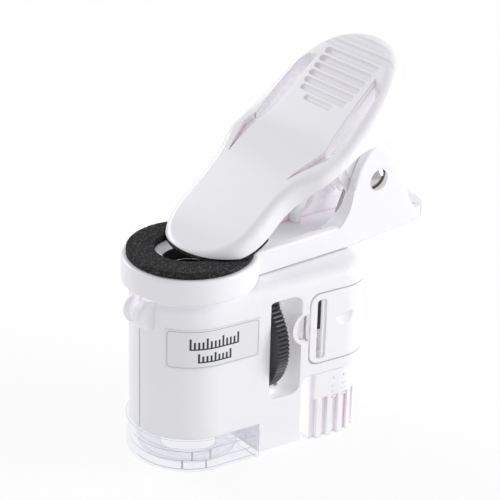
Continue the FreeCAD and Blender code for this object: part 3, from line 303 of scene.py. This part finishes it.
# %% [markdown]
# The white mouldings are satin ABS. Their colour is a little under full white so that light can
# still shape them. In deep corners the colour turns to a faintly pink painted shade, the tint of
# light that has passed through the walls, and wide hollows get a faint painted glow of that light,
# while narrow seams get none and stay dark. A fine grain, about seven bumps in a millimetre, keeps
# the reflections from looking like glass.
# %% White plastic
WHITE, PAINTED_CORNER_SHADE = (0.885, 0.88, 0.905), (0.58, 0.43, 0.50)
PAINTED_HOLLOW_GLOW, NO_GLOW = (0.36, 0.34, 0.36), (0, 0, 0)
CORNER_REACH, SEAM_REACH, HOLLOW_REACH = 4.5, 1.2, 14.0
CORNER_RAMP, SEAM_RAMP, HOLLOW_RAMP = (0.05, 0.62), (0.25, 0.75), (0.0, 0.5)
SCATTER_SHARE, SCATTER_RADIUS = 0.12, (0.0013, 0.0011, 0.0012)
SHEEN_PER_MM, SHEEN_SWING = 0.25, 0.08
GRAIN_PER_MM, GRAIN_DEPTH, GRAIN_EDGE = 7.0, 0.004, 0.28


def white_plastic(name, rough):
    s = Surface(name, Subsurface_Weight=SCATTER_SHARE, Subsurface_Radius=SCATTER_RADIUS)
    s.set(Subsurface_Scale=1.0)
    # Painted shade: within this piece, the colour turns pinkish grey towards its corners.
    open_corner = s.open_air(CORNER_REACH).ramp(*CORNER_RAMP)
    s.set(Base_Color=open_corner.blend(PAINTED_CORNER_SHADE, WHITE))
    # Painted light: wide hollows among all pieces glow faintly, but narrow seams do not.
    wide = s.open_air(SEAM_REACH, own_only=False).ramp(*SEAM_RAMP)
    inside = (1 - s.open_air(HOLLOW_REACH, own_only=False).ramp(*HOLLOW_RAMP)) * wide
    s.set(Emission_Color=inside.blend(NO_GLOW, PAINTED_HOLLOW_GLOW), Emission_Strength=1.0)
    s.set(Roughness=s.noise(SHEEN_PER_MM) * SHEEN_SWING + (rough - SHEEN_SWING / 2))
    return s.relief(s.noise(GRAIN_PER_MM), GRAIN_DEPTH, GRAIN_EDGE)


shell_white = white_plastic("shell_white", 0.34)
clip_white = white_plastic("clip_white", 0.30)
dress(shell_white, "housing_near", "housing_far", "battery_cover", "light_switch")
dress(clip_white, "clip_arm", "clip_lever")
print("white pieces dressed")

# %% [markdown]
# The clear base is polished polystyrene. True glass in a renderer would darken what is inside,
# so the base mostly shows what lies behind it, less where it is seen edge on. Its moulded edges
# are drawn as grey lines of painted shade, in place of the light that real edges bend, and away
# from the edges the base has a faint painted glow. An edge is where the Bevel node turns the way
# the surface faces.
# The base and the lamps cast no shadow, so light reaches the floor and the board.
# %% Clear pieces
BASE_ROUGH, BASE_IOR, LENS_IOR = 0.04, 1.49, 1.5
BASE_TINT, PAINTED_EDGE_SHADE = (0.80, 0.80, 0.83), (0.36, 0.38, 0.45)
PAINTED_BASE_GLOW, SEEN_THROUGH = (0.2, 0.2, 0.21), (0.972, 0.975, 0.99)
RIM_BLEND, EDGE_WIDTH, EDGE_GAIN = 0.3, 0.22, 9
CLEAR_SHARE, RIM_LOSS, EDGE_LOSS = 0.90, 0.38, 0.5


def clear(name, colour, rough):
    return Surface(name, Base_Color=colour, Roughness=rough, IOR=LENS_IOR, Transmission_Weight=1.0)


def thin_clear(name):
    """Clear plastic that shows what is behind it, least where it is seen edge on."""
    s = Surface(name, Roughness=BASE_ROUGH, IOR=BASE_IOR)
    rim = s.node("ShaderNodeLayerWeight", {}, {"Blend": RIM_BLEND}, "Facing")
    edge = ((1 - s.alike(s.facing(), s.eased(EDGE_WIDTH))) * EDGE_GAIN).clamped()
    # Painted shade: the base's edges are coloured grey and shown less clear.
    s.set(Base_Color=edge.blend(BASE_TINT, PAINTED_EDGE_SHADE))
    # Painted light: the base glows faintly, except along its edges.
    s.set(Emission_Color=edge.blend(PAINTED_BASE_GLOW, NO_GLOW), Emission_Strength=1.0)
    through = s.node("ShaderNodeBsdfTransparent", {}, {0: SEEN_THROUGH})
    return s.mix_in((CLEAR_SHARE - rim * RIM_LOSS - edge * EDGE_LOSS).clamped(), through)


dress(thin_clear("clear_plastic"), "clear_base")
dress(clear("lens_glass", (0.97, 0.98, 0.98), 0.0), "objective_lens", "eyepiece_lens")
dress(clear("lamp_clear", (1, 0.99, 0.95), 0.05), "lamp_1", "lamp_2", "lamp_3")
for name in ("clear_base", "lamp_1", "lamp_2", "lamp_3"):
    nodes[name].visible_shadow = False
print("clear pieces dressed")

# %% [markdown]
# The small pieces have one plain finish each: satin black for the wheel, drawn wire for the
# spring, nickel for the cells and brass for what is turned or sprung. The rivet is bright steel,
# and its dome mirrors the dark between the two soft boxes, which is drawn on it as a streak.
# %% Other finishes
WHEEL_EDGE, WHEEL_GRAIN, WHEEL_DEPTH = 0.12, 5.0, 0.006
RIVET_STEEL, STREAK_DARK = (0.62, 0.61, 0.60), (0.06, 0.055, 0.055)
STREAK_WAY, STREAK_IN, STREAK_OUT = (-0.75, -0.1, 0.65), (0.02, 0.16), (0.24, 0.42)
cells = [name for name in nodes if name.startswith("battery_cell")]
screws = [name for name in nodes if name.startswith("housing_screw")]
# Name, colour, roughness, share of metal, and the pieces that get it.
FINISHES = (
    ("spring_steel", (0.5, 0.5, 0.51), 0.3, 1.0, ["torsion_spring", "wheel_axle"]),
    ("gear_white", (0.75, 0.74, 0.7), 0.5, 0.0, ["focus_pinion"]),
    ("black_plastic", (0.03, 0.03, 0.032), 0.5, 0.0,
     ["lens_carriage", "eyepiece_tube", "battery_holder"]),
    ("cap_brass", (0.7, 0.55, 0.28), 0.25, 1.0,
     ["objective_cap", "contact_near", "contact_far"]),
    ("board_white", (0.82, 0.82, 0.82), 0.5, 0.0, ["lamp_board"]),
    ("cell_steel", (0.62, 0.62, 0.63), 0.28, 1.0, cells),
    ("screw_steel", (0.45, 0.45, 0.46), 0.35, 1.0, screws),
)


def plain(name, colour, rough, metal=0.0):
    return Surface(name, Base_Color=colour, Roughness=rough, Metallic=metal)


def bright_rivet():
    s = plain("rivet_steel", RIVET_STEEL, 0.18, metal=1.0)
    tilt = s.alike(s.facing(), STREAK_WAY)
    streak = tilt.ramp(*STREAK_IN) * (1 - tilt.ramp(*STREAK_OUT))
    return s.set(Base_Color=streak.blend(RIVET_STEEL, STREAK_DARK))


wheel_black = plain("wheel_black", (0.03, 0.03, 0.034), 0.30)
wheel_black.relief(wheel_black.noise(WHEEL_GRAIN), WHEEL_DEPTH, WHEEL_EDGE)
dress(wheel_black, "focus_wheel")
dress(bright_rivet(), "pivot_pin")
plain_finishes = {}
for name, colour, rough, metal, pieces in FINISHES:
    plain_finishes[name] = plain(name, colour, rough, metal)
    dress(plain_finishes[name], *pieces)
print("cells and screws:", cells + screws)

# %% [markdown]
# The ring and the pad are cut from black foam. Cut foam is full of open cells, so its faces are
# rough down to a quarter of a millimetre and its edges crumble a little. Each solid is filled
# with a fine even mesh, its sharp edges are eased, and every point is pushed in by its own
# small random depth. Noise in the surface adds the finer pits and a few bright cell walls.
# %% Foam surface
FOAM_BLACK, CELL_WALL = (0.018, 0.018, 0.019), (0.085, 0.083, 0.085)
WALLS_PER_MM, WALL_RAMP = 3.2, (0.72, 1.0)
PORES_PER_MM, PORE_DETAIL, PORE_DEPTH = 4.5, 4.0, 0.16


def foam_surface():
    s = Surface("foam_black", Specular_IOR_Level=0.25)
    wall = s.speckle(WALLS_PER_MM).ramp(*WALL_RAMP)
    s.set(Base_Color=wall.blend(FOAM_BLACK, CELL_WALL), Roughness=0.9)
    return s.relief(s.noise(PORES_PER_MM, PORE_DETAIL), PORE_DEPTH)


foam_black = foam_surface()
print("foam surface made")

# %% [markdown]
# The even mesh comes from Blender's Remesh modifier in voxel mode. It is applied at once, so the
# piece keeps no modifier, and numpy then moves all points together: two rounds of smoothing with
# the neighbours and one push along the normals.
# %% Foam pieces
FOAM_GRID, PIT_DEPTH = 0.24, 0.13
EASING_ROUNDS, EASING = 2, 0.5
OWN_CHANCE, SHARED_CHANCE = 0.6, 0.4


def even_copy(node, name, grid_mm):
    """A copy of a solid's mesh with small even faces."""
    rough = bpy.data.objects.new(name + "_rough", nodes[node].data.copy())
    scene.collection.objects.link(rough)
    grid = rough.modifiers.new("grid", "REMESH")
    grid.mode, grid.voxel_size = "VOXEL", grid_mm * MM
    ready = rough.evaluated_get(bpy.context.evaluated_depsgraph_get())
    mesh = bpy.data.meshes.new_from_object(ready)
    bpy.data.objects.remove(rough)
    return mesh


def neighbour_mean(values, pairs):
    """The mean of each point's neighbours."""
    total = np.zeros_like(values)
    count = np.zeros(len(values))
    for a, b in (pairs, pairs[::-1]):
        np.add.at(total, a, values[b])
        np.add.at(count, a, 1)
    return total / np.maximum(count, 1).reshape((-1,) + (1,) * (values.ndim - 1))


def foam_piece(node, name, body, seed):
    """A pitted foam piece in place of a plain solid."""
    mesh = even_copy(node, name, FOAM_GRID)
    points = np.empty(len(mesh.vertices) * 3)
    mesh.vertices.foreach_get("co", points)
    points = points.reshape(-1, 3)
    ends = np.empty(len(mesh.edges) * 2, dtype=np.int32)
    mesh.edges.foreach_get("vertices", ends)
    pairs = ends.reshape(-1, 2).T
    for _ in range(EASING_ROUNDS):
        points += EASING * (neighbour_mean(points, pairs) - points)
    normals = np.array([v.normal for v in mesh.vertices])
    chance = np.random.default_rng(seed).random(len(points))
    pit = OWN_CHANCE * chance + SHARED_CHANCE * neighbour_mean(chance, pairs)
    points -= normals * (pit * PIT_DEPTH * MM)[:, None]
    mesh.vertices.foreach_set("co", points.ravel())
    mesh.materials.clear()
    mesh.materials.append(foam_black.material)
    mesh.shade_smooth()
    piece = bpy.data.objects.new(name, mesh)
    scene.collection.objects.link(piece)
    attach(piece, body)
    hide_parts(node)
    print(name, "faces:", len(mesh.polygons))


foam_piece("foam_ring", "foam_ring_cut", "microscope", seed=3)
foam_piece("jaw_pad", "jaw_pad_cut", "lever", seed=5)

# %% [markdown]
# Held against the photo, the real lever reaches almost three millimetres further back than its
# solid, bulges a little more at its sides, and its cheeks come down lower at the rear. The piece
# here is the solid's own mesh. Its points are moved by a smooth amount that depends on how far
# back, how far out and how high each one lies, so the top stays on its own slope.
# %% Lever drawn out to its full length
LEVER_X = (-4.5, 12.0, 18.2, 23.5, 29.5, 36.7, 50.0, 55.0)
LEVER_TOP = (53.2, 62.9, 67.8, 71.0, 74.0, 79.8, 91.3, 95.0)
FOOT_X = (4.6, 12.6, 20.6, 25.0, 30.0, 35.0, 44.0, 53.5)
FOOT_Z = (53.0, 57.0, 64.3, 67.8, 70.9, 73.1, 74.3, 74.8)
STRETCH_FROM, STRETCH_TO, STRETCH = 44.0, 53.5, 2.8
BULGE_X = (16.0, 20.5, 24.5, 29.0, 36.0, 42.0, 47.0, 51.0, 53.0)
BULGE = (0.1, 0.3, 0.9, 0.97, 0.3, 0.4, 0.8, 0.7, 0.3)
HALF_X = (16.0, 20.5, 24.5, 29.0, 36.0, 42.0, 47.0, 51.0, 53.5)
HALF = (13.7, 15.0, 17.0, 17.9, 17.7, 16.7, 14.6, 10.9, 4.5)
SLOPE = 0.85
CHEEK_DROP_X, CHEEK_DROP = (38.0, 44.0, 53.5), (0.0, -0.8, -3.0)
STRETCH_CURVE, BULGE_CURVE, FOOT_MARGIN = 2, 3, 0.5


def drawn_out(points):
    """Where each point of the solid lies on the real lever, in mm."""
    x, y, z = points.T
    share = np.clip((x - STRETCH_FROM) / (STRETCH_TO - STRETCH_FROM), 0, None)
    back = STRETCH * share ** STRETCH_CURVE
    top, foot = np.interp(x, LEVER_X, LEVER_TOP), np.interp(x, FOOT_X, FOOT_Z)
    high = np.clip((z - foot) / (top - foot), 0, 1)
    rise = SLOPE * back * high + np.interp(x, CHEEK_DROP_X, CHEEK_DROP) * (1 - high)
    rise[z < foot - FOOT_MARGIN] = 0
    half = np.interp(x, HALF_X, HALF)
    out = np.clip(np.abs(y) / half, 0, 1) ** BULGE_CURVE
    bulge = np.interp(x, BULGE_X, BULGE) * out
    new_x = x + back * (z > foot - FOOT_MARGIN)
    return np.column_stack([new_x, y + np.sign(y) * bulge, z + rise])


def stand_in(node, name, surface, change=None):
    """A copy of a solid's mesh in its place, with its points moved if a change is given."""
    mesh = nodes[node].data.copy()
    mesh.name = name
    if change:
        points = np.empty(len(mesh.vertices) * 3)
        mesh.vertices.foreach_get("co", points)
        points = change(points.reshape(-1, 3) / MM) * MM
        mesh.vertices.foreach_set("co", points.ravel())
    mesh.materials.clear()
    mesh.materials.append(surface.material)
    piece = bpy.data.objects.new(name, mesh)
    scene.collection.objects.link(piece)
    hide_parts(node)
    print(name, "points:", len(mesh.vertices))
    return piece


lever = stand_in("clip_lever", "lever_full_length", clip_white, drawn_out)
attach(lever, "lever")

# %% [markdown]
# When the lever opens, the spring's upper leg stays under it and winds the coil, which sits on
# the lever's own axis. Here the spring is a copy of its solid in the same place, with the drawn
# wire finish, and it does not wind.
# %% Spring
drawn_wire = plain_finishes["spring_steel"]
spring = stand_in("torsion_spring", "spring_wound", drawn_wire)
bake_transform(spring)

# %% [markdown]
# The squeeze tail of the real arm is as wide as the arm and ends in two round corners, sooner and
# a little thicker than on the solid. The same way of moving points pulls it into that shape, and
# the ears' feet are lifted to meet it.
# %% Wide, short tail
EAR_END_X, TAIL_ARC_X, TAIL_END_X = 64.4, 66.0, 72.4
TAIL_NEW_END_X, TAIL_WIDER, TAIL_THICKER, TAIL_TOP_Z = 68.5, 1.49, 1.55, 50.3
TAIL_SEAM = 0.05
EAR_FOOT_X, EAR_FOOT_Z, EAR_INNER_Y = 61.4, 48.0, 7.05
ARM_BASE_Z, ARM_RISE_X, ARM_RISE = 45.1, 43.0, 0.095


def arm_underside(x):
    """The height of the arm's lower face."""
    return ARM_BASE_Z + ARM_RISE * (x - ARM_RISE_X)


def wide_tail(points):
    """Where each point of the arm's solid lies on the real arm, in mm."""
    x, y, z = points.T.copy()
    tail = x > EAR_END_X + TAIL_SEAM
    height = (z - arm_underside(x))[tail]
    far_out = np.clip((x - TAIL_ARC_X) / (TAIL_END_X - TAIL_ARC_X), 0, 1)
    new_x = EAR_END_X - TAIL_SEAM + far_out * (TAIL_NEW_END_X - EAR_END_X + TAIL_SEAM)
    x[tail], y[tail] = new_x[tail], y[tail] * TAIL_WIDER
    thick = np.interp(x[tail], (EAR_END_X, TAIL_NEW_END_X), (1.0, TAIL_THICKER))
    z[tail] = arm_underside(x[tail]) + height * thick
    foot = (x > EAR_FOOT_X) & ~tail & (np.abs(y) > EAR_INNER_Y) & (z > EAR_FOOT_Z)
    z[foot] = np.maximum(z[foot], TAIL_TOP_Z)
    return np.column_stack([x, y, z])


arm = stand_in("clip_arm", "arm_wide_tail", clip_white, wide_tail)
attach(arm, "microscope")

# %% [markdown]
# Two walls run down from the tongue's edges and close the view through the slots, and the lugs
# are wider towards the front than on the solid. Both are plain plates, drawn in side view.
# %% Tongue walls and lug fronts
TONGUE_X = (28.6, 32.0, 36.7, 41.0, 45.5)
TONGUE_ROOF = 1.4
TONGUE_Y, LUG_Y = (9.7, 10.85), (5.05, 6.4)
LUG_FRONT = [(30.9, 73.8), (43.9, 56.2), (47.9, 55.4), (33.1, 75.4)]


def plates(name, body, surface, slot_name, outlines, inner_y, outer_y):
    """Flat plates on each side, from outlines in side view."""
    points, faces = [], []
    for outline in outlines:
        count = len(outline)
        for sign in (1, -1):
            first = len(points)
            for y in (inner_y, outer_y):
                points += [(x * MM, sign * y * MM, z * MM) for x, z in outline]
            faces += [tuple(range(start, start + count)) for start in (first, first + count)]
            for a in range(count):
                b = (a + 1) % count
                faces.append((first + a, first + b, first + count + b, first + count + a))
    mesh = bpy.data.meshes.new(name)
    mesh.from_pydata(points, [], faces)
    mesh.validate()
    mesh.materials.append(surface.material)
    piece = bpy.data.objects.new(name, mesh)
    scene.collection.objects.link(piece)
    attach(piece, body)
    return piece


roof = [(x, np.interp(x, LEVER_X, LEVER_TOP) - TONGUE_ROOF) for x in TONGUE_X]
hem = [(x, np.interp(x, FOOT_X, FOOT_Z)) for x in reversed(TONGUE_X)]
plates("tongue_walls", "lever", clip_white, "clip_white", [roof + hem], *TONGUE_Y)
plates("lug_fronts", "lever", clip_white, "clip_white", [LUG_FRONT], *LUG_Y)
print("lever plates added")

# %% [markdown]
# The cover's slot has a wide light wall on its rear side, and the switch carries small raised
# marks. They are kept generic here: a dot over three bars, twice.
# %% Slot wall and raised marks
SLOT_WALL, SLOT_WALL_Y = (26.7, 27.75, 22.3, 38.3), (16.5, 17.05)
MARKS = ((30.6, 31.8, 17.40, 17.66), (33.5, 34.7, 17.55, 17.84))
BARS_Z = ((10.4, 10.9), (11.9, 12.4), (13.4, 13.9))
DOT_Z, DOT_HALF = (15.6, 16.2), 0.3


def box_outline(x0, x1, z0, z1):
    return [(x0, z0), (x1, z0), (x1, z1), (x0, z1)]


slot_wall = [box_outline(*SLOT_WALL)]
plates("cover_slot_wall", "cover", shell_white, "cover_white", slot_wall, *SLOT_WALL_Y)
for number, (x0, x1, inner_y, outer_y) in enumerate(MARKS, 1):
    bars = [box_outline(x0, x1, z0, z1) for z0, z1 in BARS_Z]
    middle = (x0 + x1) / 2
    bars.append(box_outline(middle - DOT_HALF, middle + DOT_HALF, *DOT_Z))
    plates(f"switch_marks_{number}", "switch", shell_white, "switch_white", bars, inner_y, outer_y)
print("slot wall and marks added")

# %% [markdown]
# The label is a thin silver film with a fine line along its edge. Its print is left generic: a
# plain ruled scale. The film bends round the nose, so the print is laid out flat, as it would be
# on paper, and then wrapped: one coordinate runs along the film and the other runs up it. The
# place of a flat point comes from rays that are shot at the film from outside.
# %% Wrapping the label
label_low, label_high = (np.array(corner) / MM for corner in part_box("label_plate"))
INK_LIFT = 0.012
RAY_START, RAY_MARGIN, LINE_RAYS = 60, 0.1, 240


def skin_points(node, height_mm, turns, lift_mm):
    """Points round a piece at one height, found from outside and lifted off its skin, in mm."""
    tree = BVHTree.FromObject(nodes[node], bpy.context.evaluated_depsgraph_get())
    found = []
    for turn in turns:
        way = Vector((-math.cos(turn), -math.sin(turn), 0))
        start = Vector((0, 0, height_mm * MM)) - way * RAY_START * MM
        spot, normal, _, _ = tree.ray_cast(start, way)
        if spot:
            found.append((spot + normal * lift_mm * MM) / MM)
    return np.array(found)


def film_line():
    """Points along the middle of the film, with their distance from its front end."""
    first = math.atan2(label_high[1], label_low[0])
    last = math.atan2(label_low[1], label_high[0])
    turns = np.linspace(first - RAY_MARGIN, last + RAY_MARGIN, LINE_RAYS)
    line = skin_points("label_plate", (label_low[2] + label_high[2]) / 2, turns, INK_LIFT)
    walked = np.concatenate([[0], np.cumsum(np.linalg.norm(np.diff(line, axis=0), axis=1))])
    return line, walked


label_line, label_walk = film_line()
LABEL_LENGTH, LABEL_HEIGHT = label_walk[-1], label_high[2] - label_low[2]
print("label, mm:", round(LABEL_LENGTH, 2), "by", round(LABEL_HEIGHT, 2))

# %% [markdown]
# Each mark of the print is a small strip of faces. A long mark gets enough faces along the film
# to follow its bend.
# %% Print on the label
INK_STEP = 0.4
TICK_PITCH, TICK_HALF, RULE_HEIGHT, LONG_EVERY = 1.0, 0.25, 0.35, 4
# Number of ticks, height of their foot, and how tall the long and the short ones are, in mm.
SCALE_ROWS = ((13, 5.3, 2.6, 1.7), (9, 1.9, 2.1, 1.4))


def wrapped(along, height):
    """The place on the film of a flat point, in metres."""
    x = np.interp(along, label_walk, label_line[:, 0])
    y = np.interp(along, label_walk, label_line[:, 1])
    return (x * MM, y * MM, (label_low[2] + height) * MM)


def strip(points, faces, left, right_end, low, high):
    """A flat rectangle of ink, cut into short faces along the film."""
    cuts = max(1, math.ceil((right_end - left) / INK_STEP))
    first = len(points)
    for along in np.linspace(left, right_end, cuts + 1):
        points += [wrapped(along, low), wrapped(along, high)]
    faces += [(i, i + 2, i + 3, i + 1) for i in range(first, first + 2 * cuts, 2)]


def printed(name, surface, points, faces):
    mesh = bpy.data.meshes.new(name)
    mesh.from_pydata(points, [], faces)
    mesh.materials.append(surface.material)
    piece = bpy.data.objects.new(name, mesh)
    scene.collection.objects.link(piece)
    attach(piece, "microscope")
    return piece


def ruled_scale():
    """Two rows of ticks, the lower one shorter, as on a plain ruler."""
    points, faces = [], []
    centre = LABEL_LENGTH / 2
    for count, foot, tall, short in SCALE_ROWS:
        reach = (count - 1) / 2
        for tick in range(count):
            at = centre + (tick - reach) * TICK_PITCH
            top = foot + (short if tick % LONG_EVERY else tall)
            strip(points, faces, at - TICK_HALF, at + TICK_HALF, foot, top)
        half = reach * TICK_PITCH + TICK_HALF
        strip(points, faces, centre - half, centre + half, foot - RULE_HEIGHT, foot)
    return printed("label_scale", plain("ink_black", (0.03, 0.03, 0.035), 0.5), points, faces)


scale = ruled_scale()
print("ink faces:", len(scale.data.polygons))

# %% [markdown]
# The fine line is a rounded frame a third of a millimetre inside the edge of the film.
# %% Frame of the label
FRAME_INSET, FRAME_WIDTH, FRAME_CORNER = 0.35, 0.16, 1.0
ARC_STEPS, EDGE_STEPS = 6, 50


def rounded_path(inset, corner):
    """Flat points round a rectangle with round corners."""
    path = []
    near, far = inset + corner, LABEL_LENGTH - inset - corner
    high = LABEL_HEIGHT - inset - corner
    centres = [(far, high), (near, high), (near, near), (far, near)]
    for quarter, (along, height) in enumerate(centres):
        for step in range(ARC_STEPS + 1):
            turn = math.pi / 2 * (quarter + step / ARC_STEPS)
            path.append((along + corner * math.cos(turn), height + corner * math.sin(turn)))
        if quarter % 2 == 0:
            end = centres[quarter + 1][0]
            level = path[-1][1]
            path += [(a, level) for a in np.linspace(along, end, EDGE_STEPS)[1:-1]]
    return path


def label_frame():
    outer = rounded_path(FRAME_INSET, FRAME_CORNER)
    inner = rounded_path(FRAME_INSET + FRAME_WIDTH, FRAME_CORNER - FRAME_WIDTH)
    points = [wrapped(*p) for p in outer] + [wrapped(*p) for p in inner]
    count = len(outer)
    faces = [(i, (i + 1) % count, count + (i + 1) % count, count + i) for i in range(count)]
    return printed("label_frame", plain("ink_grey", (0.42, 0.42, 0.45), 0.5), points, faces)


frame_line = label_frame()
film = Surface("label_grey", Base_Color=(0.80, 0.80, 0.81), Roughness=0.3, Metallic=0.15)
dress(film, "label_plate")
print("frame faces:", len(frame_line.data.polygons))

# %% [markdown]
# The floor is a plain white sheet. What the camera sees of it is mostly plain white, with a
# share of the lit sheet so that the soft shadow stays. Glass and metal see the same floor.
# %% Ground
FLOOR_SHARE, FLOOR_SIZE, FLOOR_DROP = 0.86, 6, 0.02


def floor_sheet():
    bpy.ops.mesh.primitive_plane_add(size=FLOOR_SIZE, location=(0, 0, -FLOOR_DROP * MM))
    sheet = bpy.context.object
    sheet.name = "floor"
    s = Surface("floor", Base_Color=(0.93, 0.93, 0.93), Roughness=0.9)
    glow = s.node("ShaderNodeEmission", {}, {0: PURE_WHITE, 1: 1.0})
    s.mix_in(s.ray_is("Camera", "Glossy", "Transmission") * FLOOR_SHARE, glow)
    sheet.data.materials.append(s.material)
    return sheet


floor_sheet()
print("floor laid")

# %% [markdown]
# The clear base is moulded in steps, and each step bends the light, so that it shows through its
# wall as a fine grey line. These lines are painted shade: grey strips that follow the wall at a
# small depth, at four heights, and a few short upright ones join them where the wall has a rib.
# %% Step lines of the base
BASE_MIDDLE_Z, LINE_DEPTH, LINE_WIDTH = 3.0, 0.9, 0.2
LINE_FROM, LINE_TO, WALL_RAYS = math.radians(150), math.radians(318), 160
RIB_SPAN = 0.004
# A line has a height in mm, and begins and ends at shares of the way along the wall. A rib has
# such a share, and goes from one height to another.
STEP_LINES = ((5.6, 0.10, 0.62), (6.0, 0.64, 0.93), (3.2, 0.02, 0.97), (0.9, 0.15, 0.93))
RIBS = (
    (0.516, 3.2, 5.6), (0.623, 3.2, 6.0), (0.462, 0.9, 3.2), (0.60, 0.9, 3.2), (0.832, 6.0, 8.0),
)


def step_lines():
    turns = np.linspace(LINE_FROM, LINE_TO, WALL_RAYS)
    wall = skin_points("clear_base", BASE_MIDDLE_Z, turns, -LINE_DEPTH)
    last = len(wall) - 1
    points, faces = [], []
    bands = [(begin, end, z - LINE_WIDTH / 2, z + LINE_WIDTH / 2) for z, begin, end in STEP_LINES]
    bands += [(at, at + RIB_SPAN, low, high) for at, low, high in RIBS]
    for begin, end, low, high in bands:
        picked = wall[round(begin * last):round(end * last) + 2]
        first = len(points)
        for x, y, _ in picked:
            points += [(x * MM, y * MM, low * MM), (x * MM, y * MM, high * MM)]
        faces += [(i, i + 2, i + 3, i + 1) for i in range(first, len(points) - 2, 2)]
    # Painted shade: the strips are grey lines where the steps bend the light.
    piece = printed("base_step_lines", plain("painted_step_shade", (0.52, 0.52, 0.57), 0.3), points, faces)
    return piece


lines = step_lines()
print("step lines, faces:", len(lines.data.polygons))
